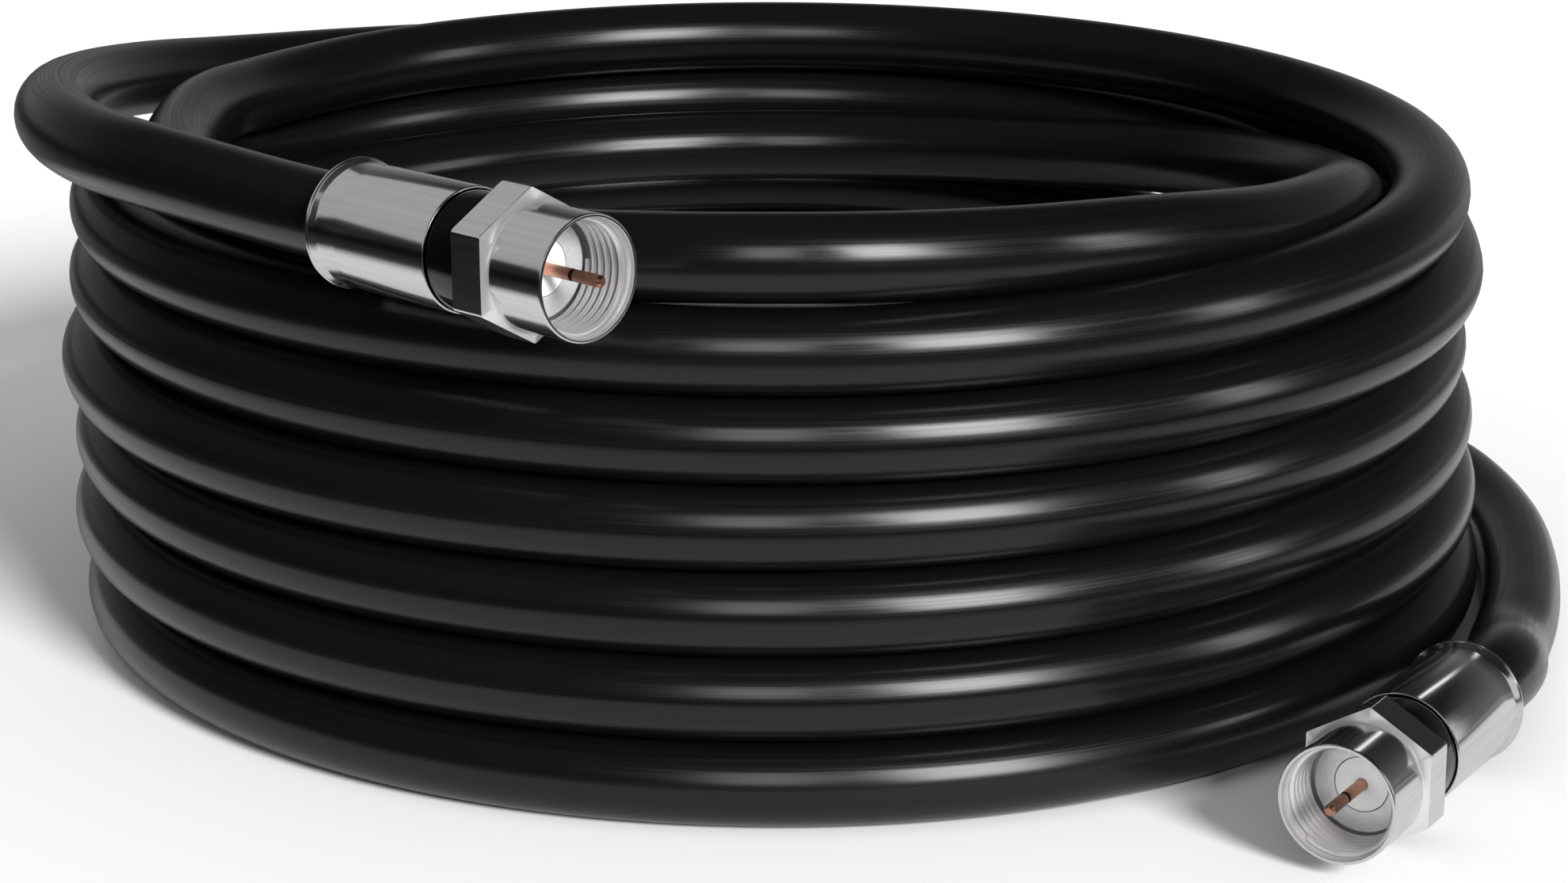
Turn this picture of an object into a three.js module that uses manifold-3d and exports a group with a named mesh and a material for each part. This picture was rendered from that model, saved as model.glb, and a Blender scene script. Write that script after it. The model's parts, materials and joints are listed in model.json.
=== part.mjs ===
// Coaxial cable coil: one black cable wound into a round coil, with a screw-on
// threaded connector on each end. Millimetres, +Z up, resting on its lowest turn.
import * as THREE from 'three';
import { mergeVertices } from 'three/addons/utils/BufferGeometryUtils.js';
import Module from 'manifold-3d';

const wasm = await Module();
wasm.setup();

// Driving dimensions
const clearance = 0.3;              // gap kept wherever two pieces touch
const cableDiameter = 7.5;
const coilRadius = 64.6;            // middle of the cable to the coil's axis
const coilRows = 6;                 // turns that lie on each other all the way round
const rowGap = 0.1;                 // between two neat turns, one above the other

const conductorDiameter = 1.02;
const conductorReach = 1.6;         // how far the conductor stands out of the nut's mouth
const conductorChamfer = 0.25;
const dielectricDiameter = 4.6;
const postWall = 0.65;
const postFlangeThickness = 1.0;
const dielectricDepth = 5.3;        // mouth of the nut to the face of the dielectric

const threadMajorDiameter = 9.525;  // 3/8 inch
const threadPitch = 0.794;          // 32 threads to the inch
const threadDepth = 0.43;
const threadStart = 0.9;            // smooth lead of the mouth before the first thread
const nutAcrossFlats = 11.11;       // 7/16 inch
const nutCollarWall = 0.41;         // outside the thread
const nutCollarLength = 5.4;
const nutHexLength = 4.5;
const nutChamferLength = 0.95;
const nutRimChamfer = 0.1;
const nutRearChamfer = 0.2;
const nutCorners = 6;

const bodyBandDiameter = 9.7;
const bodyBandLength = 4.0;
const bodyWall = 0.7;
const sleeveDiameter = 10.48;
const sleeveLength = 14.75;
const sleeveLipDiameter = 11.0;
const sleeveLipLength = 0.9;
const sleeveEdgeRound = 0.25;
const cableInsertion = 6.6;         // how far the cable goes into the sleeve

const floorHeight = 0;

// Finishes
const jacketBlack = new THREE.MeshStandardMaterial({ color: 0x08080a, roughness: 0.3, metalness: 0 });
const nickel = new THREE.MeshStandardMaterial({ color: 0xc9cacc, roughness: 0.25, metalness: 1 });
const bandBlack = new THREE.MeshStandardMaterial({ color: 0x060607, roughness: 0.12, metalness: 0 });
const dielectricWhite = new THREE.MeshStandardMaterial({ color: 0xf2f2f0, roughness: 0.5, metalness: 0 });
const copper = new THREE.MeshStandardMaterial({ color: 0xc07a55, roughness: 0.35, metalness: 1 });

// Sizes that follow from the driving ones
const cableRadius = cableDiameter / 2;
const rowPitch = cableDiameter + rowGap;
const nutLength = nutCollarLength + nutHexLength;
const bodyFront = nutLength + clearance;
const sleeveFront = bodyFront + bodyBandLength - clearance;
const sleeveRear = sleeveFront + sleeveLength;
const cableEnd = sleeveRear - cableInsertion;
const sleeveEntryRadius = cableRadius + clearance;
const postBoreRadius = dielectricDiameter / 2 + clearance;
const postRadius = postBoreRadius + postWall;
const postEnd = cableEnd - clearance;
const bodyBoreRadius = postRadius + clearance;
const bodyTailRadius = bodyBoreRadius + bodyWall;
const threadMajorRadius = threadMajorDiameter / 2;
const threadMinorRadius = threadMajorRadius - threadDepth;
const nutCollarRadius = threadMajorRadius + nutCollarWall;
const nutCornerRadius = nutAcrossFlats / 2 / Math.cos(Math.PI / nutCorners);
const flangeRadius = threadMinorRadius - clearance;
const flangeRear = dielectricDepth + postFlangeThickness;

// A station on the cable's way is [degrees, outward, height]: its angle round the
// coil from the front by way of the left side, how far the cable's middle lies
// outside the middle of the neat turns, and its height, both in cable diameters.
// A connector's mouth is such a station; it points to azimuth, from the front
// towards the right, and elevation, in degrees.
const endA = { mouth: [10.8, 2.163, 6.827], azimuth: 44.9, elevation: 0.6 };
const endBHeight = (floorHeight + nutCornerRadius + clearance) / cableDiameter;
const endB = { mouth: [-30, 3.345, endBHeight], azimuth: -30.2, elevation: 0 };

// A turned solid about Z from a closed outline of [radius, height] corners
function turned(outline, segments) {
  const corners = outline.map(([radius, height]) => new THREE.Vector2(radius, height));
  const onAxis = outline[0][0] === 0;
  if (!onAxis) {
    corners.push(corners[0].clone());
  }
  return new THREE.LatheGeometry(corners, segments).rotateX(Math.PI / 2);
}

function solidOf(geometry) {
  const bare = geometry.clone();
  bare.deleteAttribute('normal');
  bare.deleteAttribute('uv');
  const merged = mergeVertices(bare, 1e-4);
  return new wasm.Manifold(new wasm.Mesh({
    numProp: 3,
    vertProperties: merged.attributes.position.array,
    triVerts: Uint32Array.from(merged.index.array),
  }));
}

function geometryOf(solid) {
  const { vertProperties, triVerts } = solid.getMesh();
  const geometry = new THREE.BufferGeometry();
  geometry.setAttribute('position', new THREE.BufferAttribute(vertProperties, 3));
  geometry.setIndex(new THREE.BufferAttribute(triVerts, 1));
  geometry.computeVertexNormals();
  return geometry;
}

function piece(name, geometry, material) {
  const mesh = new THREE.Mesh(geometry, material);
  mesh.name = name;
  return mesh;
}

// The neat turns of the coil as one ring: a scallop outside and inside for each
// turn, and a narrow flat under the lowest one
const scallopSides = 10;
const coilSegments = 56;

function coilRing() {
  const sideAngle = (2 * Math.PI) / scallopSides;
  const cornerRadius = cableRadius / Math.cos(sideAngle / 2);
  const sidesEach = scallopSides / 2;
  const corner = (row, index) => {
    const angle = -Math.PI / 2 + sideAngle * (index + 0.5);
    return [
      coilRadius + cornerRadius * Math.cos(angle),
      floorHeight + cableRadius + row * rowPitch + cornerRadius * Math.sin(angle),
    ];
  };
  const outline = [];
  for (let row = 0; row < coilRows; row += 1) {
    for (let index = 0; index < sidesEach; index += 1) {
      outline.push(corner(row, index));
    }
  }
  for (let row = coilRows - 1; row >= 0; row -= 1) {
    for (let index = sidesEach; index < scallopSides; index += 1) {
      outline.push(corner(row, index));
    }
  }
  return turned(outline, coilSegments);
}

function stationPoint([degrees, outward, height]) {
  const angle = THREE.MathUtils.degToRad(degrees);
  const radius = coilRadius + outward * cableDiameter;
  return new THREE.Vector3(
    -radius * Math.sin(angle),
    -radius * Math.cos(angle),
    height * cableDiameter,
  );
}

// The stretches that leave the neat turns
const leadInRoute = [
  [56, 0.37, 6.8], [70, 0.54, 6.72], [90, 0.74, 6.52], [110, 0.91, 6.2], [130, 1.09, 5.72],
  [150, 1.15, 5.4], [170, 1.15, 5.2], [190, 1.15, 5.05], [210, 1.15, 4.9], [230, 1.15, 4.8],
  [246, 1.15, 4.75],
];
const topTurnRoute = [
  [120, -1.09, 4.42], [150, -1.09, 4.36], [180, -1.09, 4.34], [205, -1.13, 4.42],
  [225, -1.21, 4.64], [245, -1.35, 4.93], [258, -1.41, 5.12], [270, -1.43, 5.31],
  [290, -1.31, 5.76], [310, -1.11, 6.02], [330, -0.69, 6.34], [345, -0.31, 6.54],
  [360, -0.01, 6.61], [375, -0.25, 6.58], [390, -0.66, 6.42], [405, -0.87, 6.22],
  [420, -0.99, 6.08], [435, -1.01, 6], [450, -1.01, 6], [462, -0.99, 5.98],
];
const tailRoute = [
  [218, 1.17, 0.51], [232, 1.31, 0.51], [248, 1.39, 0.51], [262, 1.25, 0.51], [275, 1.13, 0.51],
  [288, 1.13, 0.51], [297, 1.33, 0.59],
];

const tubeSides = 12;
const stepInDiameters = 2;

function cableTube(points) {
  const route = new THREE.CatmullRomCurve3(points, false, 'centripetal');
  const section = new THREE.Shape();
  for (let side = 0; side < tubeSides; side += 1) {
    const angle = (2 * Math.PI * side) / tubeSides;
    const across = cableRadius * Math.cos(angle);
    const along = cableRadius * Math.sin(angle);
    if (side === 0) {
      section.moveTo(across, along);
    } else {
      section.lineTo(across, along);
    }
  }
  section.closePath();
  const steps = Math.round(route.getLength() / (stepInDiameters * cableDiameter));
  return new THREE.ExtrudeGeometry(section, { steps, extrudePath: route, bevelEnabled: false });
}

function pointing(end) {
  const azimuth = THREE.MathUtils.degToRad(end.azimuth);
  const elevation = THREE.MathUtils.degToRad(end.elevation);
  return new THREE.Vector3(
    Math.sin(azimuth) * Math.cos(elevation),
    -Math.cos(azimuth) * Math.cos(elevation),
    Math.sin(elevation),
  );
}

// A point on a connector's axis, a distance behind its mouth
function behindMouth(end, distance) {
  return stationPoint(end.mouth).addScaledVector(pointing(end), -distance);
}

// The cable runs straight into its sleeve
function straightEnd(end) {
  const straightRun = 1.2 * cableDiameter;
  return [cableEnd, sleeveRear, sleeveRear + straightRun].map((distance) => behindMouth(end, distance));
}

// Connector pieces, each about Z with the nut's mouth at height 0 and the cable below
const turnedSegments = 32;
const smallSegments = 20;

function compressionSleeve() {
  const outer = sleeveDiameter / 2;
  const lip = sleeveLipDiameter / 2;
  const counterbore = bodyTailRadius + clearance;
  const lipFront = -sleeveRear + sleeveLipLength;
  return turned([
    [sleeveEntryRadius, -sleeveRear],
    [lip - sleeveEdgeRound, -sleeveRear],
    [lip, -sleeveRear + sleeveEdgeRound],
    [lip, lipFront - sleeveEdgeRound],
    [outer, lipFront],
    [outer, -sleeveFront - sleeveEdgeRound],
    [outer - sleeveEdgeRound, -sleeveFront],
    [counterbore, -sleeveFront],
    [counterbore, -cableEnd],
    [sleeveEntryRadius, -cableEnd],
  ], turnedSegments);
}

function connectorBody() {
  const shoulder = -sleeveFront + clearance;
  return turned([
    [bodyBoreRadius, -postEnd],
    [bodyTailRadius, -postEnd],
    [bodyTailRadius, shoulder],
    [bodyBandDiameter / 2, shoulder],
    [bodyBandDiameter / 2, -bodyFront],
    [bodyBoreRadius, -bodyFront],
  ], turnedSegments);
}

function flangedPost() {
  return turned([
    [postBoreRadius, -postEnd],
    [postRadius, -postEnd],
    [postRadius, -flangeRear],
    [flangeRadius, -flangeRear],
    [flangeRadius, -dielectricDepth],
    [postBoreRadius, -dielectricDepth],
  ], turnedSegments);
}

function dielectricCore() {
  const hole = conductorDiameter / 2 + clearance;
  return turned([
    [hole, -postEnd],
    [dielectricDiameter / 2, -postEnd],
    [dielectricDiameter / 2, -dielectricDepth],
    [hole, -dielectricDepth],
  ], smallSegments);
}

function centreConductor() {
  const radius = conductorDiameter / 2;
  return turned([
    [0, -postEnd],
    [radius, -postEnd],
    [radius, conductorReach - conductorChamfer],
    [radius - conductorChamfer, conductorReach],
    [0, conductorReach],
  ], smallSegments);
}

// The nut's bore: a chamfered mouth, thread rings, a plain seat for the post's
// flange and a smaller hole that the flange can't pass
function nutBore() {
  const past = 1;
  const mouthRadius = threadMajorRadius + nutRimChamfer;
  const seatRear = flangeRear + clearance;
  const outline = [
    [0, past],
    [mouthRadius, past],
    [mouthRadius, 0],
    [threadMajorRadius, -nutRimChamfer],
    [threadMajorRadius, -threadStart],
  ];
  const threadCount = Math.floor((dielectricDepth - threadStart) / threadPitch);
  for (let thread = 0; thread < threadCount; thread += 1) {
    const crest = -threadStart - (thread + 0.5) * threadPitch;
    outline.push([threadMinorRadius, crest]);
    outline.push([threadMajorRadius, crest - threadPitch / 2]);
  }
  outline.push([threadMajorRadius, -seatRear]);
  outline.push([postRadius + clearance, -seatRear]);
  outline.push([postRadius + clearance, -nutLength - past]);
  outline.push([0, -nutLength - past]);
  return turned(outline.reverse(), turnedSegments);
}

// Turned outlines that have to clear the corners of the hexagon are this much wider
const roundnessFactor = 1 / Math.cos(Math.PI / turnedSegments);

function hexagonalPrism() {
  const hexagon = new THREE.Shape();
  for (let corner = 0; corner < nutCorners; corner += 1) {
    const angle = Math.PI / 2 + (2 * Math.PI * corner) / nutCorners;
    const x = nutCornerRadius * Math.cos(angle);
    const y = nutCornerRadius * Math.sin(angle);
    if (corner === 0) {
      hexagon.moveTo(x, y);
    } else {
      hexagon.lineTo(x, y);
    }
  }
  hexagon.closePath();
  const prism = new THREE.ExtrudeGeometry(hexagon, { depth: nutHexLength, bevelEnabled: false });
  return prism.translate(0, 0, -nutLength);
}

function couplingNut() {
  const hexFront = -nutCollarLength;
  const hexRear = -nutLength;
  const chamferStart = hexFront - nutChamferLength;
  const chamferRadius = nutCornerRadius * roundnessFactor;
  const chamfer = turned([
    [0, hexRear],
    [chamferRadius - nutRearChamfer, hexRear],
    [chamferRadius, hexRear + nutRearChamfer],
    [chamferRadius, chamferStart],
    [nutCollarRadius, hexFront],
    [0, hexFront],
  ], turnedSegments);
  const collar = turned([
    [0, chamferStart],
    [nutCollarRadius, chamferStart],
    [nutCollarRadius, -nutRimChamfer],
    [nutCollarRadius - nutRimChamfer, 0],
    [0, 0],
  ], turnedSegments);
  const outside = solidOf(hexagonalPrism()).intersect(solidOf(chamfer)).add(solidOf(collar));
  return geometryOf(outside.subtract(solidOf(nutBore())));
}

function connector(prefix, end) {
  const group = new THREE.Group();
  const outward = pointing(end);
  const side = new THREE.Vector3().crossVectors(new THREE.Vector3(0, 0, 1), outward).normalize();
  const upward = new THREE.Vector3().crossVectors(outward, side);
  group.quaternion.setFromRotationMatrix(new THREE.Matrix4().makeBasis(side, upward, outward));
  group.position.copy(stationPoint(end.mouth));
  group.add(piece(`${prefix}_compression_sleeve`, compressionSleeve(), nickel));
  group.add(piece(`${prefix}_connector_body`, connectorBody(), bandBlack));
  group.add(piece(`${prefix}_flanged_post`, flangedPost(), nickel));
  group.add(piece(`${prefix}_coupling_nut`, couplingNut(), nickel));
  group.add(piece(`${prefix}_dielectric`, dielectricCore(), dielectricWhite));
  group.add(piece(`${prefix}_centre_conductor`, centreConductor(), copper));
  return group;
}

const cableCoil = new THREE.Group();
cableCoil.add(piece('cable_coil', coilRing(), jacketBlack));
const leadInPoints = [...straightEnd(endA), ...leadInRoute.map(stationPoint)];
cableCoil.add(piece('cable_lead_in', cableTube(leadInPoints), jacketBlack));
cableCoil.add(piece('cable_top_turn', cableTube(topTurnRoute.map(stationPoint)), jacketBlack));
const tailPoints = [...tailRoute.map(stationPoint), ...straightEnd(endB).reverse()];
cableCoil.add(piece('cable_tail', cableTube(tailPoints), jacketBlack));
cableCoil.add(connector('end_a', endA));
cableCoil.add(connector('end_b', endB));

// The origin is under the middle of the whole coil, on the floor
cableCoil.updateMatrixWorld(true);
const box = new THREE.Box3().setFromObject(cableCoil, true);
const middle = box.getCenter(new THREE.Vector3());
cableCoil.position.set(-middle.x, -middle.y, -box.min.z);

export default cableCoil;
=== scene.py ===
"""A coil of black coaxial cable with a nickel-plated threaded connector on each end."""
import json
import math

import bmesh
import bpy
import numpy as np
from mathutils import Matrix, Vector

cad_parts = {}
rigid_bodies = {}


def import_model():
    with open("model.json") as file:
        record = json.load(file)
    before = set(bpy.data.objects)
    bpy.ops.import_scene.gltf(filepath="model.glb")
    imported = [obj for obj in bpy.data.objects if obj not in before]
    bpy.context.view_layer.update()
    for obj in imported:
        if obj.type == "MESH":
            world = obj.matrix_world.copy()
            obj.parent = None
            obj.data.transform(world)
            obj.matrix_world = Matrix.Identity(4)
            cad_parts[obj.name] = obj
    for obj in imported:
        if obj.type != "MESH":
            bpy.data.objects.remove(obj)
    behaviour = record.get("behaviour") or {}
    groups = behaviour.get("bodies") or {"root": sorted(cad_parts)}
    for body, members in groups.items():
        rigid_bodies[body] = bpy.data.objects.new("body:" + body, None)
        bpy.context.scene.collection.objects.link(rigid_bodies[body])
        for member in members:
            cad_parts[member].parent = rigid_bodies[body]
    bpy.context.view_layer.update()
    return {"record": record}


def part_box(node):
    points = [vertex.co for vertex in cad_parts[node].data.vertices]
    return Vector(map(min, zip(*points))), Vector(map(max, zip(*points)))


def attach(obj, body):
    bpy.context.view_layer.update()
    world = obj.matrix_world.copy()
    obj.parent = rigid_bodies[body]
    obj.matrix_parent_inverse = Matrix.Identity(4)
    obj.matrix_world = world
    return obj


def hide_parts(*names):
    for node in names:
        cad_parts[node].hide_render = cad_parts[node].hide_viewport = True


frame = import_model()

MM = 0.001

# The frame: the coil's axis stands in the middle of the neat turns' box
COIL_LOW, COIL_HIGH = (Vector(corner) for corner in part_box("cable_coil"))
COIL_AXIS = Vector(((COIL_LOW.x + COIL_HIGH.x) / 2, (COIL_LOW.y + COIL_HIGH.y) / 2, 0))

CABLE_DIAMETER = 7.5 * MM
CABLE_RADIUS = CABLE_DIAMETER / 2

# A connector's lengths, from the nut's mouth towards the cable
NUT_COLLAR = 5.9 * MM
NUT_SHOULDER = 0.6 * MM       # from the hexagon's front edge to the round collar
NUT_LENGTH = 9.9 * MM
SLEEVE_FRONT = 13.9 * MM
SLEEVE_REAR = 28.65 * MM
CABLE_END = 22.05 * MM
DIELECTRIC_FACE = 5.3 * MM
FLANGE_REAR = 6.3 * MM
NUT_SEAT = 6.6 * MM
POST_END = 21.75 * MM
CONDUCTOR_REACH = 1.6 * MM

# Its radii
NUT_ACROSS_FLATS = 11.11 * MM
COLLAR_RADIUS = 5.17 * MM
THREAD_MAJOR_RADIUS = 4.76 * MM
THREAD_DEPTH = 0.43 * MM
THREAD_PITCH = 0.794 * MM
THREAD_START = 0.95 * MM
FLANGE_RADIUS = 4.17 * MM
POST_RADIUS = 3.25 * MM
POST_BORE_RADIUS = 2.4 * MM
DIELECTRIC_RADIUS = 2.33 * MM
CONDUCTOR_RADIUS = 0.51 * MM
BAND_RADIUS = 5.0 * MM
BODY_TAIL_RADIUS = 4.25 * MM
SLEEVE_RADIUS = 5.24 * MM
SLEEVE_LIP_RADIUS = 5.5 * MM


class Connector:
    """Where one connector's mouth is and where it points, from its nut's joint."""

    def __init__(self, letter):
        joint = next(j for j in frame["record"]["behaviour"]["joints"] if j["name"] == f"nut_{letter}_spin")
        self.letter = letter
        self.nut_body = joint["child"]
        self.cable_body = joint["parent"]
        self.mouth = Vector(joint["pos_m"])
        self.outward = Vector(joint["axis"]).normalized()
        side = Vector((0, 0, 1)).cross(self.outward).normalized()
        upward = self.outward.cross(side)
        turn = Matrix((side, upward, self.outward)).transposed().to_4x4()
        self.place = Matrix.Translation(self.mouth) @ turn

    def behind(self, distance):
        return self.mouth - self.outward * distance

    def node(self, part):
        """The name of this connector's own part or piece."""
        return f"end_{self.letter}_{part}"


END_A = Connector("a")
END_B = Connector("b")


# The camera, at the photograph's distance, height and angle to the coil

IMAGE_WIDTH = 1979      # pixels
CAMERA_DISTANCE = 383.5 * MM      # from the coil's axis, level
CAMERA_HEIGHT = 127.8 * MM
CAMERA_PITCH = math.radians(16.447)
FOCAL_PIXELS = 5092


def make_camera():
    data = bpy.data.cameras.new("photo_camera")
    data.sensor_width = 36
    data.lens = FOCAL_PIXELS / IMAGE_WIDTH * data.sensor_width
    data.clip_start = 0.01
    camera = bpy.data.objects.new("photo_camera", data)
    bpy.context.scene.collection.objects.link(camera)
    camera.location = COIL_AXIS + Vector((0, -CAMERA_DISTANCE, CAMERA_HEIGHT))
    camera.rotation_euler = (math.pi / 2 - CAMERA_PITCH, 0, 0)
    bpy.context.scene.camera = camera


# The cable's route. A station is [degrees, radius, height]: the angle round the coil from
# the front by way of the left side, then distances in cable diameters

LEAD_IN = [
    [56, 8.98, 6.8], [70, 9.15, 6.72], [90, 9.35, 6.52], [110, 9.56, 6.15], [130, 9.76, 5.72],
    [150, 9.84, 5.46], [170, 9.86, 5.3], [190, 9.82, 5.2], [210, 9.62, 5.05], [230, 9.4, 4.95],
    [250, 9.0, 4.86], [260, 8.72, 4.78],
]
INNER_STRETCH = [
    [464, 8.25, 4.5], [481, 7.85, 4.42], [500, 7.6, 4.36], [520, 7.54, 4.34], [540, 7.52, 4.33],
    [565, 7.48, 4.42], [585, 7.4, 4.64], [605, 7.26, 4.93], [618, 7.2, 5.12], [630, 7.18, 5.31],
    [650, 7.3, 5.76], [670, 7.5, 6.02], [690, 7.92, 6.34],
]
TOP_TURN = [
    [705, 8.33, 6.48], [720, 8.6, 6.56], [735, 8.4, 6.48], [750, 8.02, 6.35], [765, 7.82, 6.22],
    [780, 7.74, 6.08], [795, 7.74, 6.03], [810, 7.78, 6.0], [824, 7.98, 5.98], [841, 8.2, 5.85],
    [860, 8.36, 5.81],
]
TAIL = [
    [2670, 8.6, 0.5], [2688, 8.72, 0.5], [2705, 8.97, 0.5], [2722, 9.36, 0.5], [2738, 9.7, 0.5],
    [2752, 9.9, 0.5], [2768, 9.97, 0.5], [2782, 9.8, 0.5], [2798, 9.66, 0.5], [2812, 9.78, 0.52],
    [2819, 9.98, 0.59],
]

# The neat turns, at the right, front, left and back of the coil: [radius, height]
THIRD_ROW = [[8.48, 4.7], [8.64, 4.52], [8.68, 4.6]]
FREE_TO_FOURTH_ROW = [
    [900, 8.46, 5.78], [990, 8.27, 5.68], [1080, 8.62, 5.52], [1170, 8.64, 5.52], [1184, 8.72, 5.3],
    [1201, 8.82, 4.95], [1215, 8.78, 4.84], [1260, 8.68, 4.8], [1305, 8.6, 4.62],
]
NEAT_TURNS = [
    [[8.31, 3.73], [8.64, 3.52], [8.83, 3.54], [8.66, 3.54]],
    [[8.43, 2.78], [8.64, 2.52], [8.7, 2.54], [8.62, 2.52]],
    [[8.52, 1.8], [8.64, 1.52], [8.75, 1.53], [8.59, 1.51]],
    [[8.6, 0.75], [8.66, 0.5], [8.63, 0.5]],
]
FIRST_NEAT_ANGLE = 1350
QUARTER = 90
ROUTE_STEP = 7.5        # degrees between the route's points
STRAIGHT_BEHIND_SLEEVE = 1.2 * CABLE_DIAMETER


def quarter_stations(first_angle, quarters):
    return [[first_angle + QUARTER * n, *place] for n, place in enumerate(quarters)]


def all_stations():
    """The whole winding from the lead-in's curve to the tail's, in the order that the cable runs."""
    free = LEAD_IN + quarter_stations(270, THIRD_ROW) + INNER_STRETCH + TOP_TURN + FREE_TO_FOURTH_ROW
    neat = [place for turn in NEAT_TURNS for place in turn]
    return free + quarter_stations(FIRST_NEAT_ANGLE, neat) + TAIL


def smooth_through(angles, values, wanted):
    """A smooth curve through values at angles that doesn't overshoot them (monotone cubic)."""
    gaps = np.diff(angles)
    slopes = np.diff(values) / gaps
    bends = np.zeros(len(values))
    for n in range(1, len(values) - 1):
        before, after = slopes[n - 1], slopes[n]
        if before * after > 0:
            weight_before = 2 * gaps[n] + gaps[n - 1]
            weight_after = gaps[n] + 2 * gaps[n - 1]
            bends[n] = (weight_before + weight_after) / (weight_before / before + weight_after / after)
    bends[0], bends[-1] = slopes[0], slopes[-1]
    at = np.clip(np.searchsorted(angles, wanted) - 1, 0, len(gaps) - 1)
    t = (wanted - angles[at]) / gaps[at]
    h = gaps[at]
    return (
        values[at] * (1 + 2 * t) * (1 - t) ** 2
        + bends[at] * h * t * (1 - t) ** 2
        + values[at + 1] * t * t * (3 - 2 * t)
        + bends[at + 1] * h * t * t * (t - 1)
    )


def winding_points():
    """Points along the winding, in metres."""
    stations = np.array(all_stations(), float)
    angles = np.arange(stations[0, 0], stations[-1, 0] + 0.1, ROUTE_STEP)
    radii = smooth_through(stations[:, 0], stations[:, 1], angles) * CABLE_DIAMETER
    heights = smooth_through(stations[:, 0], stations[:, 2], angles) * CABLE_DIAMETER
    turn = np.radians(angles)
    return [
        COIL_AXIS + Vector((-r * math.sin(a), -r * math.cos(a), h))
        for a, r, h in zip(turn, radii, heights)
    ]


def straight_end(end):
    """The cable's first points inside and behind its sleeve, on the connector's axis."""
    return [end.behind(back) for back in (CABLE_END, SLEEVE_REAR, SLEEVE_REAR + STRAIGHT_BEHIND_SLEEVE)]


def even_points(points, step):
    """A Catmull-Rom spline through points, with a point every step, and its length."""
    fine = []
    padded = [2 * points[0] - points[1], *points, 2 * points[-1] - points[-2]]
    for a, b, c, d in zip(padded, padded[1:], padded[2:], padded[3:]):
        knots = [0.0]
        for p, q in ((a, b), (b, c), (c, d)):
            knots.append(knots[-1] + math.sqrt((q - p).length))
        t0, t1, t2, t3 = knots
        for k in range(12):
            t = t1 + (t2 - t1) * k / 12
            ab = a.lerp(b, (t - t0) / (t1 - t0))
            bc = b.lerp(c, (t - t1) / (t2 - t1))
            cd = c.lerp(d, (t - t2) / (t3 - t2))
            abc = ab.lerp(bc, (t - t0) / (t2 - t0))
            bcd = bc.lerp(cd, (t - t1) / (t3 - t1))
            fine.append(abc.lerp(bcd, (t - t1) / (t2 - t1)))
    fine.append(points[-1])
    line = np.array([tuple(p) for p in fine])
    travelled = np.concatenate([[0], np.cumsum(np.linalg.norm(np.diff(line, axis=0), axis=1))])
    count = round(travelled[-1] / step)
    at = np.linspace(0, travelled[-1], count + 1)
    even = np.stack([np.interp(at, travelled, line[:, n]) for n in range(3)], axis=1)
    return even, travelled[-1]


# Nodes that several materials share

def feed(tree, socket, value):
    """Links an output to an input, or sets the input to a number, vector or material."""
    if isinstance(value, bpy.types.NodeSocket):
        tree.links.new(value, socket)
    else:
        socket.default_value = value


def arithmetic(tree, operation, *values):
    node = tree.nodes.new("ShaderNodeMath")
    node.operation = operation
    for socket, value in zip(node.inputs, values):
        feed(tree, socket, value)
    return node.outputs["Value"]


def mix_values(tree, factor, first, second):
    node = tree.nodes.new("ShaderNodeMix")
    for socket, value in ((node.inputs[0], factor), (node.inputs[2], first), (node.inputs[3], second)):
        feed(tree, socket, value)
    return node.outputs[0]


def map_range(tree, value, from_low, from_high, to_low, to_high):
    node = tree.nodes.new("ShaderNodeMapRange")
    limits = {"From Min": from_low, "From Max": from_high, "To Min": to_low, "To Max": to_high}
    for name, number in limits.items():
        node.inputs[name].default_value = number
    tree.links.new(value, node.inputs["Value"])
    return node.outputs["Result"]


def separate_axes(tree, source):
    node = tree.nodes.new("ShaderNodeSeparateXYZ")
    tree.links.new(source, node.inputs["Vector"])
    return node.outputs


# Finishes

def new_material(name):
    material = bpy.data.materials.new(name)
    material.use_nodes = True
    tree = material.node_tree
    return material, tree, tree.nodes["Principled BSDF"]


def attribute_noise(tree, attribute, scale, detail=4.0, roughness=0.5):
    """Noise over a piece's own attribute, stretched by scale."""
    source = tree.nodes.new("ShaderNodeAttribute")
    source.attribute_name = attribute
    stretch = tree.nodes.new("ShaderNodeMapping")
    stretch.inputs["Scale"].default_value = scale
    noise = tree.nodes.new("ShaderNodeTexNoise")
    noise.inputs["Scale"].default_value = 1.0
    noise.inputs["Detail"].default_value = detail
    noise.inputs["Roughness"].default_value = roughness
    tree.links.new(source.outputs["Vector"], stretch.inputs["Vector"])
    tree.links.new(stretch.outputs["Vector"], noise.inputs["Vector"])
    return noise.outputs["Fac"]


def blend_colours(tree, factor, first, second):
    node = tree.nodes.new("ShaderNodeMix")
    node.data_type = "RGBA"
    node.inputs[6].default_value = (*first, 1)
    node.inputs[7].default_value = (*second, 1)
    tree.links.new(factor, node.inputs[0])
    return node.outputs[2]


def add_bump(tree, shader, height, strength, distance):
    bump = tree.nodes.new("ShaderNodeBump")
    bump.inputs["Strength"].default_value = strength
    bump.inputs["Distance"].default_value = distance
    tree.links.new(height, bump.inputs["Height"])
    tree.links.new(bump.outputs["Normal"], shader.inputs["Normal"])


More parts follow.
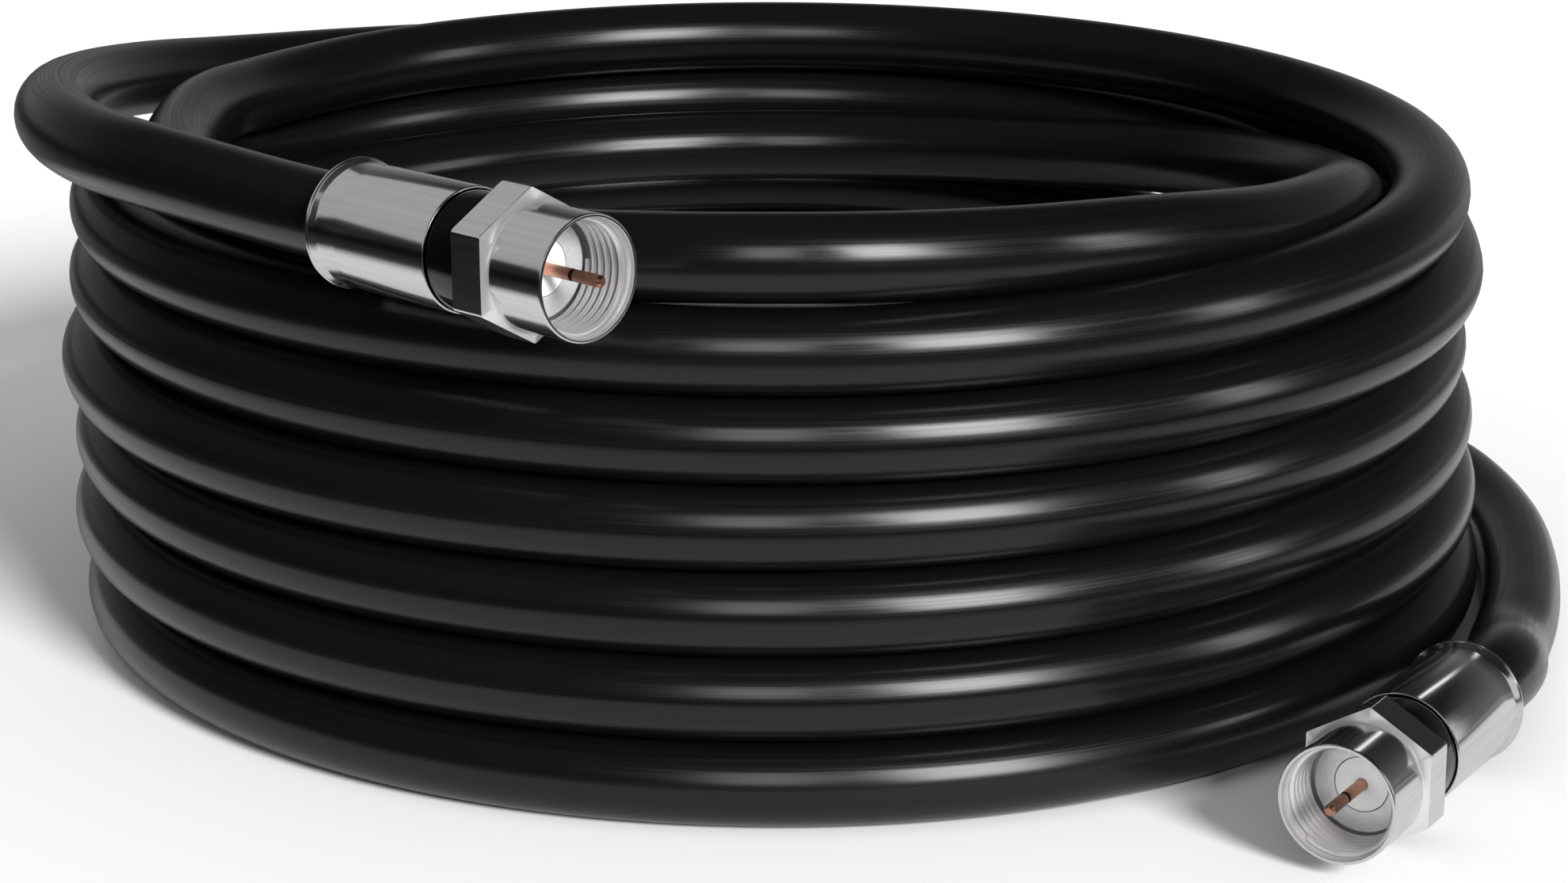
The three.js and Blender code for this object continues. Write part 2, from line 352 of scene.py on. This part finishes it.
def jacket_material():
    """Glossy extruded PVC: faint die lines that run along the cable, and a slight orange-peel."""
    material, tree, shader = new_material("black_pvc_jacket")
    shader.inputs["Specular IOR Level"].default_value = 0.4
    lines = attribute_noise(tree, "run", (0.5, 9.0, 9.0), detail=6)
    mottle = attribute_noise(tree, "run", (3.0, 2.0, 2.0), detail=3)
    colour = blend_colours(tree, mottle, (0.0018, 0.0018, 0.0019), (0.0042, 0.0042, 0.0044))
    tree.links.new(colour, shader.inputs["Base Color"])
    tree.links.new(map_range(tree, lines, 0.3, 0.7, 0.18, 0.3), shader.inputs["Roughness"])
    add_bump(tree, shader, lines, 0.10, 0.00006)
    return material


def nickel_material(name, brightness, smoothest, roughest, metallic=1.0, ring_depth=0.06, dullness=0.74):
    """Turned and plated brass: fine lathe rings, and streaks where the plating is duller."""
    material, tree, shader = new_material(name)
    shader.inputs["Metallic"].default_value = metallic
    streaks = attribute_noise(tree, "turning", (2.6, 2.6, 0.05), detail=3)
    rings = attribute_noise(tree, "turning", (0.3, 0.3, 8.0), detail=4)
    bright = (brightness, brightness, brightness * 1.01)
    dull = tuple(dullness * c for c in bright)
    tree.links.new(blend_colours(tree, streaks, bright, dull), shader.inputs["Base Color"])
    tree.links.new(map_range(tree, streaks, 0.3, 0.7, smoothest, roughest), shader.inputs["Roughness"])
    if ring_depth:
        add_bump(tree, shader, rings, ring_depth, 0.00001)
    return material


def band_material():
    """The body's glossy black plastic, with small scratches that run round it."""
    material, tree, shader = new_material("gloss_black_band")
    scratches = attribute_noise(tree, "turning", (1.1, 1.1, 16.0), detail=8, roughness=0.7)
    mask = map_range(tree, scratches, 0.66, 0.7, 0.0, 1.0)
    colour = blend_colours(tree, mask, (0.002, 0.002, 0.0022), (0.05, 0.05, 0.05))
    tree.links.new(colour, shader.inputs["Base Color"])
    tree.links.new(map_range(tree, scratches, 0.3, 0.7, 0.05, 0.16), shader.inputs["Roughness"])
    return material


def dielectric_material():
    """Foamed white polyethylene: a fine grain and a little light that passes under the surface."""
    material, tree, shader = new_material("foamed_dielectric")
    shader.inputs["Roughness"].default_value = 0.55
    shader.inputs["Subsurface Weight"].default_value = 0.15
    shader.inputs["Subsurface Scale"].default_value = 0.0006
    grain = attribute_noise(tree, "turning", (4.0, 4.0, 4.0), detail=6)
    colour = blend_colours(tree, grain, (0.86, 0.86, 0.85), (0.95, 0.95, 0.94))
    tree.links.new(colour, shader.inputs["Base Color"])
    add_bump(tree, shader, grain, 0.3, 0.00004)
    return material


SCORE_PLACE = -1.65       # the ring that the stripping blade left on the conductor, in mm from the mouth


def copper_material():
    """Bare drawn copper: fine draw lines, tarnish in patches, and painted shade: the scored ring's groove
    is painted near black.
    """
    material, tree, shader = new_material("bare_copper")
    shader.inputs["Metallic"].default_value = 1.0
    draw_lines = attribute_noise(tree, "turning", (14.0, 14.0, 0.5), detail=4)
    patches = attribute_noise(tree, "turning", (1.5, 1.5, 1.2), detail=3)
    fresh = blend_colours(tree, patches, (0.66, 0.35, 0.25), (0.38, 0.17, 0.11))
    place = tree.nodes.new("ShaderNodeAttribute")
    place.attribute_name = "turning"
    along = separate_axes(tree, place.outputs["Vector"])["Z"]
    from_score = arithmetic(tree, "SUBTRACT", along, SCORE_PLACE)
    # painted shade: the copper is painted near black along the scored groove, where shade falls in it
    scored = map_range(tree, arithmetic(tree, "ABSOLUTE", from_score), 0.18, 0.3, 1.0, 0.0)
    mix = tree.nodes.new("ShaderNodeMix")
    mix.data_type = "RGBA"
    # the painted shade's near-black colour in the scored groove
    mix.inputs[7].default_value = (0.035, 0.015, 0.01, 1)
    tree.links.new(scored, mix.inputs[0])
    tree.links.new(fresh, mix.inputs[6])
    tree.links.new(mix.outputs[2], shader.inputs["Base Color"])
    tree.links.new(map_range(tree, draw_lines, 0.3, 0.7, 0.26, 0.42), shader.inputs["Roughness"])
    add_bump(tree, shader, draw_lines, 0.25, 0.00002)
    return material


# The cable

CABLE_SIDES = 32
RING_STEP = 2.6 * MM
PATTERN_AHEAD = 9       # how fast the jacket's pattern runs along the cable, for each metre
PATTERN_ROUND = 2.2     # and the radius that it has round it


def link(name, mesh):
    obj = bpy.data.objects.new(name, mesh)
    bpy.context.scene.collection.objects.link(obj)
    return obj


def make_cable(material):
    """The whole cable as one tube of even rings, from inside one connector to inside the other."""
    route = straight_end(END_A) + winding_points() + straight_end(END_B)[::-1]
    centres, length = even_points(route, RING_STEP)
    ahead = np.gradient(centres, axis=0)
    ahead /= np.linalg.norm(ahead, axis=1)[:, None]
    side = np.cross(ahead, (0, 0, 1))
    side /= np.linalg.norm(side, axis=1)[:, None]
    above = np.cross(side, ahead)
    turn = np.linspace(0, 2 * np.pi, CABLE_SIDES, endpoint=False)
    rings = (
        centres[:, None]
        + CABLE_RADIUS * np.cos(turn)[None, :, None] * side[:, None]
        + CABLE_RADIUS * np.sin(turn)[None, :, None] * above[:, None]
    )
    count = len(centres)
    corners = rings.reshape(-1, 3)
    faces = []
    for ring in range(count - 1):
        for n in range(CABLE_SIDES):
            after = (n + 1) % CABLE_SIDES
            low, high = ring * CABLE_SIDES, (ring + 1) * CABLE_SIDES
            faces.append((low + n, high + n, high + after, low + after))
    faces.append(tuple(range(CABLE_SIDES)))
    faces.append(tuple((count - 1) * CABLE_SIDES + n for n in reversed(range(CABLE_SIDES))))
    mesh = bpy.data.meshes.new("coaxial_cable")
    mesh.from_pydata(corners.tolist(), [], faces)
    mesh.shade_smooth()
    run = np.zeros((count, CABLE_SIDES, 3), np.float32)
    run[..., 0] = (np.arange(count) * RING_STEP * PATTERN_AHEAD)[:, None]
    run[..., 1] = np.cos(turn) * PATTERN_ROUND
    run[..., 2] = np.sin(turn) * PATTERN_ROUND
    layer = mesh.attributes.new("run", "FLOAT_VECTOR", "POINT")
    layer.data.foreach_set("vector", run.ravel())
    mesh.materials.append(material)
    cable = link("coaxial_cable", mesh)
    print("cable length", round(float(length), 4))
    return cable, centres


# The connectors. Their outlines are in the connector's own frame: radius, and height along
# the axis with the nut's mouth at 0 and the cable below

TURNED_SIDES = 144


def rounded(corners):
    """An outline whose [radius, height, rounding] corners become short arcs."""
    points = []
    count = len(corners)
    for n, corner in enumerate(corners):
        here = np.array(corner[:2])
        rounding = corner[2] if len(corner) > 2 else 0
        if not rounding:
            points.append(here)
            continue
        before = np.array(corners[n - 1][:2]) - here
        after = np.array(corners[(n + 1) % count][:2]) - here
        before /= np.linalg.norm(before)
        after /= np.linalg.norm(after)
        half = math.acos(float(np.clip(before @ after, -1, 1))) / 2
        reach = rounding / math.tan(half)
        middle = here + (before + after) / np.linalg.norm(before + after) * rounding / math.sin(half)
        start, finish = here + before * reach, here + after * reach
        for t in np.linspace(0, 1, 5):
            along = start * (1 - t) + finish * t - middle
            points.append(middle + along / np.linalg.norm(along) * rounding)
    return points


def piece_from_rings(name, end, rings, angles, material, second_material=None, second_rings=()):
    """A closed piece from rings of (radius at each angle, height); some can have a second material."""
    bm = bmesh.new()
    turning = bm.verts.layers.float_vector.new("turning")
    rows = []
    for radii, height in rings:
        row = []
        on_axis = max(radii) < 1e-7
        for radius, angle in zip(radii[:1] if on_axis else radii, angles):
            local = Vector((radius * math.cos(angle), radius * math.sin(angle), height))
            vertex = bm.verts.new(end.place @ local)
            vertex[turning] = local / MM
            row.append(vertex)
        rows.append(row)
    closed = len(rows[0]) > 1
    pairs = list(zip(rows, rows[1:] + rows[:1])) if closed else list(zip(rows, rows[1:]))
    for ring, (low, high) in enumerate(pairs):
        for n in range(len(angles)):
            after = (n + 1) % len(angles)
            ways = ((low, n), (low, after), (high, after), (high, n))
            corners = [row[place % len(row)] for row, place in ways]
            face = bm.faces.new(list(dict.fromkeys(corners)))
            face.material_index = int(ring in second_rings)
    bmesh.ops.recalc_face_normals(bm, faces=bm.faces)
    mesh = bpy.data.meshes.new(name)
    bm.to_mesh(mesh)
    bm.free()
    mesh.shade_smooth()
    mesh.set_sharp_from_angle(angle=math.radians(32))
    mesh.materials.append(material)
    if second_material:
        mesh.materials.append(second_material)
    return link(name, mesh)


def turned(name, end, corners, material, sides=TURNED_SIDES):
    """A round piece, from the outline of its cut."""
    angles = np.linspace(0, 2 * math.pi, sides, endpoint=False)
    rings = [([float(radius)] * sides, float(height)) for radius, height in rounded(corners)]
    return piece_from_rings(name, end, rings, angles, material)


def compression_sleeve(end, material):
    """The plated sleeve: rolled lip at the cable, a slightly slimmer neck, and the long barrel."""
    lip_front = -SLEEVE_REAR + 1.15 * MM
    barrel_rear = lip_front + 2.35 * MM
    neck = SLEEVE_RADIUS - 0.1 * MM
    bore = BODY_TAIL_RADIUS + 0.15 * MM
    entry = CABLE_RADIUS + 0.05 * MM
    return turned(end.node("crimped_sleeve"), end, [
        (entry, -SLEEVE_REAR + 0.1 * MM, 0.1 * MM),
        (SLEEVE_LIP_RADIUS - 0.25 * MM, -SLEEVE_REAR, 0.2 * MM),
        (SLEEVE_LIP_RADIUS, -SLEEVE_REAR + 0.25 * MM, 0.1 * MM),
        (SLEEVE_LIP_RADIUS, -SLEEVE_REAR + 0.42 * MM, 0.08 * MM),
        (SLEEVE_LIP_RADIUS - 0.1 * MM, -SLEEVE_REAR + 0.5 * MM, 0.04 * MM),
        (SLEEVE_LIP_RADIUS - 0.1 * MM, -SLEEVE_REAR + 0.62 * MM, 0.08 * MM),
        (neck, lip_front, 0.5 * MM),
        (neck, barrel_rear, 0.04 * MM),
        (SLEEVE_RADIUS, barrel_rear + 0.05 * MM, 0.02 * MM),
        (SLEEVE_RADIUS, -SLEEVE_FRONT, 0.12 * MM),
        (BAND_RADIUS + 0.03 * MM, -SLEEVE_FRONT, 0.04 * MM),
        (BAND_RADIUS + 0.03 * MM, -SLEEVE_FRONT - 0.5 * MM),
        (bore, -SLEEVE_FRONT - 0.5 * MM),
        (bore, -CABLE_END + 0.3 * MM),
        (entry, -CABLE_END + 0.3 * MM),
    ], material)


def connector_body(end, material):
    """The black body that shows between sleeve and nut."""
    front = -NUT_LENGTH - 0.15 * MM
    shoulder = -SLEEVE_FRONT + 0.15 * MM
    return turned(end.node("black_body"), end, [
        (POST_RADIUS + 0.1 * MM, -POST_END),
        (BODY_TAIL_RADIUS, -POST_END),
        (BODY_TAIL_RADIUS, shoulder),
        (BAND_RADIUS, shoulder, 0.1 * MM),
        (BAND_RADIUS, front, 0.15 * MM),
        (POST_RADIUS + 0.1 * MM, front),
    ], material)


def flanged_post(end, material):
    """The tube that holds the cable, with the flange that the nut turns on."""
    return turned(end.node("flange_and_post"), end, [
        (POST_BORE_RADIUS, -POST_END),
        (POST_RADIUS, -POST_END, 0.1 * MM),
        (POST_RADIUS, -FLANGE_REAR),
        (FLANGE_RADIUS, -FLANGE_REAR, 0.1 * MM),
        (FLANGE_RADIUS, -DIELECTRIC_FACE, 0.1 * MM),
        (POST_BORE_RADIUS, -DIELECTRIC_FACE, 0.06 * MM),
    ], material)


def dielectric_core(end, material):
    """The cable's white insulation, cut flush with the flange."""
    hole = CONDUCTOR_RADIUS + 0.02 * MM
    return turned(end.node("white_dielectric"), end, [
        (hole, -POST_END),
        (DIELECTRIC_RADIUS, -POST_END),
        (DIELECTRIC_RADIUS, -DIELECTRIC_FACE - 0.02 * MM, 0.05 * MM),
        (hole, -DIELECTRIC_FACE - 0.02 * MM, 0.03 * MM),
    ], material, sides=64)


def centre_conductor(end, material):
    """The copper pin: a scored ring, and a tip that the cutter left narrow."""
    score = SCORE_PLACE * MM
    radius = CONDUCTOR_RADIUS
    return turned(end.node("copper_conductor"), end, [
        (0, -POST_END),
        (radius, -POST_END),
        (radius, score - 0.2 * MM, 0.05 * MM),
        (radius - 0.07 * MM, score - 0.06 * MM, 0.03 * MM),
        (radius - 0.07 * MM, score + 0.06 * MM, 0.03 * MM),
        (radius, score + 0.2 * MM, 0.05 * MM),
        (radius, CONDUCTOR_REACH - 0.25 * MM, 0.05 * MM),
        (radius - 0.22 * MM, CONDUCTOR_REACH, 0.05 * MM),
        (0, CONDUCTOR_REACH),
    ], material, sides=48)


def soft_minimum(first, second, width):
    """The smaller value, with a rounded change-over that is about as wide as width."""
    overlap = max(0.0, 1 - abs(first - second) / width)
    return min(first, second) - width * overlap * overlap / 4


def soft_maximum(first, second, width):
    return -soft_minimum(-first, -second, width)


def hexagon_radius(angle, edge_softness):
    """How far the hexagon's side is from the axis at an angle; one corner points upwards."""
    from_corner = (angle - math.pi / 2 + math.pi / 6) % (math.pi / 3) - math.pi / 6
    radius = NUT_ACROSS_FLATS / 2 / math.cos(math.pi / 6 - abs(from_corner))
    for _ in range(4):
        left = radius * math.cos(math.pi / 6 - from_corner)
        right = radius * math.cos(math.pi / 6 + from_corner)
        radius *= NUT_ACROSS_FLATS / 2 / soft_maximum(left, right, edge_softness)
    return radius


def nut_angles():
    """Angles round the nut, close together at the hexagon's corners."""
    from_corner = [0, 0.35, 0.7, 1.1, 1.6, 2.4, 4, 7, 11, 15, 20, 25, 30]
    sextant = sorted({-a for a in from_corner[1:-1]} | set(from_corner))
    return [math.radians(90 + 60 * corner + offset) for corner in range(6) for offset in sextant]


SHOULDER_HOLLOW = 1.8       # 1 would be a straight slope; more is hollower
SOFT_EDGE = 0.08 * MM
RIM_RINGS = 9               # rings of the rounded rim that keep the bright finish


def coupling_nut(end, material, satin_material):
    """The nut's hexagon, the hollow shoulder to its round collar, rim and bore, as rings of radii."""
    corner = NUT_ACROSS_FLATS / 2 / math.cos(math.pi / 6)
    angles = nut_angles()
    hexagon = [hexagon_radius(angle, 2 * SOFT_EDGE) for angle in angles]
    face = -NUT_COLLAR - NUT_SHOULDER
    hole = POST_RADIUS + 0.35 * MM
    rings = [([hole] * len(angles), -NUT_LENGTH)]
    heights = np.concatenate([
        np.linspace(-NUT_LENGTH, -NUT_LENGTH + 0.3 * MM, 7),
        np.linspace(-NUT_LENGTH + 0.7 * MM, face - 0.6 * MM, 4),
        [face - 0.1 * MM, face - 0.03 * MM],
        np.linspace(face + 0.01 * MM, -NUT_COLLAR, 16),
        np.linspace(-NUT_COLLAR + 0.2 * MM, -0.5 * MM, 6),
    ])
    for height in heights:
        rear_cone = corner - 0.1 * MM + (height + NUT_LENGTH) * 1.2
        share = min(max((-NUT_COLLAR - height) / NUT_SHOULDER, 0), 1) ** SHOULDER_HOLLOW
        sides = [soft_minimum(side, rear_cone, SOFT_EDGE) for side in hexagon]
        rings.append(([COLLAR_RADIUS + (side - COLLAR_RADIUS) * share for side in sides], float(height)))
    satin_rings = {n for n, ring in enumerate(rings) if face <= ring[1] < -NUT_COLLAR}
    bore_start = len(rings) + RIM_RINGS
    inside = rounded([
        (COLLAR_RADIUS, -0.4 * MM),
        (COLLAR_RADIUS, 0, 0.12 * MM),
        (THREAD_MAJOR_RADIUS + 0.1 * MM, 0, 0.06 * MM),
        (THREAD_MAJOR_RADIUS, -0.35 * MM, 0.1 * MM),
        (THREAD_MAJOR_RADIUS, -NUT_SEAT),
        (hole, -NUT_SEAT, 0.05 * MM),
    ])
    rings += [([float(radius)] * len(angles), float(height)) for radius, height in inside]
    satin_rings |= set(range(bore_start, len(rings)))
    name = end.node("hexagonal_nut")
    return piece_from_rings(name, end, rings, angles, material, satin_material, satin_rings)


def add_node(tree, kind, **inputs):
    """A node with its inputs set: a number or vector is a value, a socket becomes a link."""
    node = tree.nodes.new(kind)
    for name, value in inputs.items():
        feed(tree, node.inputs[name.replace("_", " ")], value)
    return node


THREAD_SECTION_TURN = -math.pi / 2      # the section's narrow side faces the axis
THREAD_FOOT = 0.98                      # the section's wide and narrow sides, as shares of the pitch
THREAD_CREST = 0.14


def thread_tree():
    """The nut's inside thread: a ridge of one section wound along a helix."""
    tree = bpy.data.node_groups.new("inside_thread", "GeometryNodeTree")
    sizes = {
        "Pitch": "NodeSocketFloat", "Turns": "NodeSocketFloat", "Middle Radius": "NodeSocketFloat",
        "Height": "NodeSocketFloat", "Lowest": "NodeSocketFloat", "Finish": "NodeSocketMaterial",
    }
    for name, kind in sizes.items():
        tree.interface.new_socket(name, in_out="INPUT", socket_type=kind)
    tree.interface.new_socket("Geometry", in_out="OUTPUT", socket_type="NodeSocketGeometry")
    given = tree.nodes.new("NodeGroupInput").outputs
    helix = add_node(
        tree, "GeometryNodeCurveSpiral", Resolution=96, Rotations=given["Turns"],
        Start_Radius=given["Middle Radius"], End_Radius=given["Middle Radius"],
        Height=arithmetic(tree, "MULTIPLY", given["Pitch"], given["Turns"]),
    )
    lift = add_node(tree, "ShaderNodeCombineXYZ", Z=given["Lowest"])
    lifted = add_node(
        tree, "GeometryNodeTransform", Geometry=helix.outputs["Curve"], Translation=lift.outputs["Vector"])
    level = tree.nodes.new("GeometryNodeSetCurveNormal")
    level.mode = "Z_UP"
    tree.links.new(lifted.outputs["Geometry"], level.inputs["Curve"])
    section = tree.nodes.new("GeometryNodeCurvePrimitiveQuadrilateral")
    section.mode = "TRAPEZOID"
    section.inputs["Offset"].default_value = 0
    tree.links.new(given["Height"], section.inputs["Height"])
    for side, share in (("Bottom Width", THREAD_FOOT), ("Top Width", THREAD_CREST)):
        tree.links.new(arithmetic(tree, "MULTIPLY", given["Pitch"], share), section.inputs[side])
    turned_section = add_node(
        tree, "GeometryNodeTransform", Geometry=section.outputs["Curve"],
        Rotation=(0, 0, THREAD_SECTION_TURN))
    ridge = add_node(
        tree, "GeometryNodeCurveToMesh", Curve=level.outputs["Curve"],
        Profile_Curve=turned_section.outputs["Geometry"], Fill_Caps=True)
    whole = add_node(tree, "GeometryNodeRealizeInstances", Geometry=ridge.outputs["Mesh"])
    finished = add_node(
        tree, "GeometryNodeSetMaterial", Geometry=whole.outputs["Geometry"], Material=given["Finish"])
    out = tree.nodes.new("NodeGroupOutput")
    tree.links.new(finished.outputs["Geometry"], out.inputs["Geometry"])
    return tree


def nut_thread(end, tree, material):
    """The ridge as a plain mesh in its nut."""
    carrier = link("thread_carrier", bpy.data.meshes.new("thread_carrier"))
    modifier = carrier.modifiers.new("thread", "NODES")
    modifier.node_group = tree
    lowest = -DIELECTRIC_FACE + 0.1 * MM
    turns = (-THREAD_START - lowest) / THREAD_PITCH
    sunk = 0.05 * MM        # the ridge's foot is this far inside the nut's wall
    root = THREAD_MAJOR_RADIUS + sunk
    height = THREAD_DEPTH + sunk
    values = {
        "Pitch": THREAD_PITCH, "Turns": turns, "Middle Radius": root - height / 2,
        "Height": height, "Lowest": lowest, "Finish": material,
    }
    for item in tree.interface.items_tree:
        if item.in_out == "INPUT":
            modifier[item.identifier] = values[item.name]
    seen = carrier.evaluated_get(bpy.context.evaluated_depsgraph_get())
    mesh = bpy.data.meshes.new_from_object(seen)
    carrier.modifiers.remove(modifier)
    bpy.data.objects.remove(carrier)
    local = np.empty(len(mesh.vertices) * 3, np.float32)
    mesh.vertices.foreach_get("co", local)
    layer = mesh.attributes.new("turning", "FLOAT_VECTOR", "POINT")
    layer.data.foreach_set("vector", local / MM)
    mesh.transform(end.place)
    mesh.name = end.node("thread")
    return link(end.node("thread"), mesh)


def make_connector(end, finishes, tree):
    """All of one connector's pieces, each on its body and in place of its plain solid."""
    fixed = [
        (compression_sleeve(end, finishes["nickel_sleeve"]), "compression_sleeve", "nickel_sleeve"),
        (connector_body(end, finishes["black_band"]), "connector_body", "black_band"),
        (flanged_post(end, finishes["nickel_post"]), "flanged_post", "nickel_post"),
        (dielectric_core(end, finishes["dielectric"]), "dielectric", "dielectric"),
        (centre_conductor(end, finishes["copper"]), "centre_conductor", "copper"),
    ]
    for piece, node, slot in fixed:
        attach(piece, end.cable_body)
        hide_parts(end.node(node))
    nut = coupling_nut(end, finishes["nickel_nut"], finishes["nickel_satin"])
    thread = nut_thread(end, tree, finishes["nickel_satin"])
    for piece in (nut, thread):
        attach(piece, end.nut_body)
    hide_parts(end.node("coupling_nut"))
    return [piece for piece, _, _ in fixed] + [nut, thread]


# Light and floor

KEY_AZIMUTH = 29.5
KEY_ELEVATION = 26.5


def softbox_way(azimuth, elevation):
    """The way from the coil to a light; azimuth turns from the camera's side towards +X."""
    a, e = math.radians(azimuth), math.radians(elevation)
    return Vector((math.sin(a) * math.cos(e), -math.cos(a) * math.cos(e), math.sin(e)))


def area_light(name, azimuth, elevation, degrees_wide, degrees_high, radiance, receivers=None):
    """A softbox at one metre that faces the coil and shows in the gloss alone."""
    data = bpy.data.lights.new(name, "AREA")
    data.shape = "RECTANGLE"
    data.size = 2 * math.tan(math.radians(degrees_wide / 2))
    data.size_y = 2 * math.tan(math.radians(degrees_high / 2))
    data.energy = radiance * math.pi * data.size * data.size_y
    light = bpy.data.objects.new(name, data)
    bpy.context.scene.collection.objects.link(light)
    away = softbox_way(azimuth, elevation)
    light.location = COIL_AXIS + away
    light.rotation_euler = away.to_track_quat("Z", "Y").to_euler()
    light.visible_diffuse = False
    if receivers:
        light.light_linking.receiver_collection = receivers
    return light


def window_light():
    """The daylight that casts the soft shadow; its own picture in the gloss is the key softbox."""
    data = bpy.data.lights.new("window_light", "SUN")
    data.energy = 5.0
    data.angle = math.radians(18)
    light = bpy.data.objects.new("window_light", data)
    bpy.context.scene.collection.objects.link(light)
    away = softbox_way(KEY_AZIMUTH, KEY_ELEVATION)
    light.location = COIL_AXIS + away
    light.rotation_euler = away.to_track_quat("Z", "Y").to_euler()
    light.visible_glossy = False


ROOM_LIGHT = 0.5
FLOOR_REFLECTANCE = 0.86
# painted reflection: near the coil the floor's colour in the gloss is painted darker than its reflectance
FLOOR_IN_GLOSS = 0.68
PAINTED_GLOSS_RADIUS = 0.145      # past this the floor's colour in the gloss is painted much darker, a painted reflection of the darker studio beyond its table


def make_floor():
    """The pale floor; in the gloss its colour is painted a little darker, and much darker away from the
    coil: painted reflections.
    """
    mesh = bpy.data.meshes.new("floor")
    half = 3.0
    corners = [(-half, -half, 0), (half, -half, 0), (half, half, 0), (-half, half, 0)]
    mesh.from_pydata(corners, [], [(0, 1, 2, 3)])
    floor = link("floor", mesh)
    material, tree, shader = new_material("pale_floor")
    shader.inputs["Roughness"].default_value = 1.0
    shader.inputs["Specular IOR Level"].default_value = 0.0
    place = tree.nodes.new("ShaderNodeTexCoord")
    length = tree.nodes.new("ShaderNodeVectorMath")
    length.operation = "LENGTH"
    tree.links.new(place.outputs["Object"], length.inputs[0])
    axes = separate_axes(tree, place.outputs["Object"])
    # painted reflection: away from the coil the floor in the gloss is painted darker still, most towards
    # the front and the left
    back = map_range(tree, axes["Y"], 0.0, 0.2, 0.03, 0.3)
    far = arithmetic(tree, "MULTIPLY", back, map_range(tree, axes["X"], -0.3, -0.1, 0.1, 1.0))
    edge = (PAINTED_GLOSS_RADIUS * 0.9, PAINTED_GLOSS_RADIUS * 1.15)
    near = map_range(tree, length.outputs["Value"], *edge, 1.0, 0.0)
    painted_reflection_level = mix_values(tree, near, far, FLOOR_IN_GLOSS)
    path = tree.nodes.new("ShaderNodeLightPath")
    level = mix_values(tree, path.outputs["Is Glossy Ray"], FLOOR_REFLECTANCE, painted_reflection_level)
    shade = tree.nodes.new("ShaderNodeCombineColor")
    for channel in ("Red", "Green", "Blue"):
        tree.links.new(level, shade.inputs[channel])
    tree.links.new(shade.outputs["Color"], shader.inputs["Base Color"])
    mesh.materials.append(material)


def make_world():
    """Even light on dull surfaces; in the gloss a dark room, paler high up, leftwards and low behind."""
    world = bpy.data.worlds.new("studio")
    world.use_nodes = True
    tree = world.node_tree
    way = tree.nodes.new("ShaderNodeTexCoord")
    axes = separate_axes(tree, way.outputs["Generated"])
    height = map_range(tree, axes["Z"], 0.1, 0.9, 0.01, 0.05)
    leftward = map_range(tree, axes["X"], 0.5, -0.8, 0.4, 1.6)
    low = map_range(tree, axes["Z"], 0.1, 0.5, 1.0, 0.0)
    behind = map_range(tree, axes["Y"], 0.3, 0.9, 0.0, 0.26)
    backlight = arithmetic(tree, "MULTIPLY", low, behind)
    gloss = arithmetic(tree, "MULTIPLY_ADD", height, leftward, backlight)
    path = tree.nodes.new("ShaderNodeLightPath")
    strength = mix_values(tree, path.outputs["Is Glossy Ray"], ROOM_LIGHT, gloss)
    background = tree.nodes["Background"]
    background.inputs["Color"].default_value = (1, 1, 1, 1)
    tree.links.new(strength, background.inputs["Strength"])
    bpy.context.scene.world = world


def collection_of(name, pieces):
    """The pieces that a light shines on."""
    collection = bpy.data.collections.new(name)
    for piece in pieces:
        collection.objects.link(piece)
    return collection


def make_studio(metal_pieces, dull_pieces, bore_pieces):
    """Floor, room and lights. Softboxes bright enough for the black jacket would burn out on the metal."""
    make_floor()
    make_world()
    bpy.context.scene.view_settings.view_transform = "Standard"
    window_light()
    metal = collection_of("metal_pieces", metal_pieces)
    dull = collection_of("cable_and_plastic", dull_pieces)
    area_light("key_softbox", KEY_AZIMUTH, KEY_ELEVATION, 19, 29, 19, dull)
    area_light("fill_softbox", -3, 27, 14, 26, 4.6, dull)
    area_light("side_softbox", 75, 13, 10, 28, 5.5, dull)
    card = area_light("bore_card", -42, 14, 50, 40, 1.8, collection_of("bore_pieces", bore_pieces))
    card.visible_diffuse = True
    card.visible_glossy = False
    area_light("metal_key_softbox", KEY_AZIMUTH, KEY_ELEVATION, 7, 26, 2.2, metal)
    area_light("metal_front_softbox", -20, 20, 34, 24, 0.75, metal)
    area_light("metal_side_softbox", 88, 10, 46, 40, 0.7, metal)
    area_light("metal_rear_strip", 150, 33, 3, 12, 1.6, metal)
    area_light("metal_left_softbox", -104, 38, 84, 52, 0.4, metal)


make_camera()
cable, cable_line = make_cable(jacket_material())
finishes = {
    "nickel_sleeve": nickel_material("sleeve_nickel", 0.82, 0.12, 0.19),
    "nickel_nut": nickel_material("bright_nickel", 0.84, 0.12, 0.19),
    "nickel_post": nickel_material("post_nickel", 0.88, 0.34, 0.44, metallic=0.55, ring_depth=0),
    "nickel_satin": nickel_material(
        "satin_nickel", 0.82, 0.32, 0.36, metallic=0.8, ring_depth=0, dullness=0.94),
    "black_band": band_material(),
    "dielectric": dielectric_material(),
    "copper": copper_material(),
}
thread_rule = thread_tree()
connector_pieces = [piece for end in (END_A, END_B) for piece in make_connector(end, finishes, thread_rule)]
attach(cable, END_A.cable_body)
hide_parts("cable_coil", "cable_lead_in", "cable_top_turn", "cable_tail")
metal_names = ("sleeve", "nut", "thread", "post", "conductor")
metal_pieces = [piece for piece in connector_pieces if any(name in piece.name for name in metal_names)]
dull_pieces = [cable] + [piece for piece in connector_pieces if piece not in metal_pieces]
bore_pieces = [piece for piece in connector_pieces if "post" in piece.name or "dielectric" in piece.name]
make_studio(metal_pieces, dull_pieces, bore_pieces)
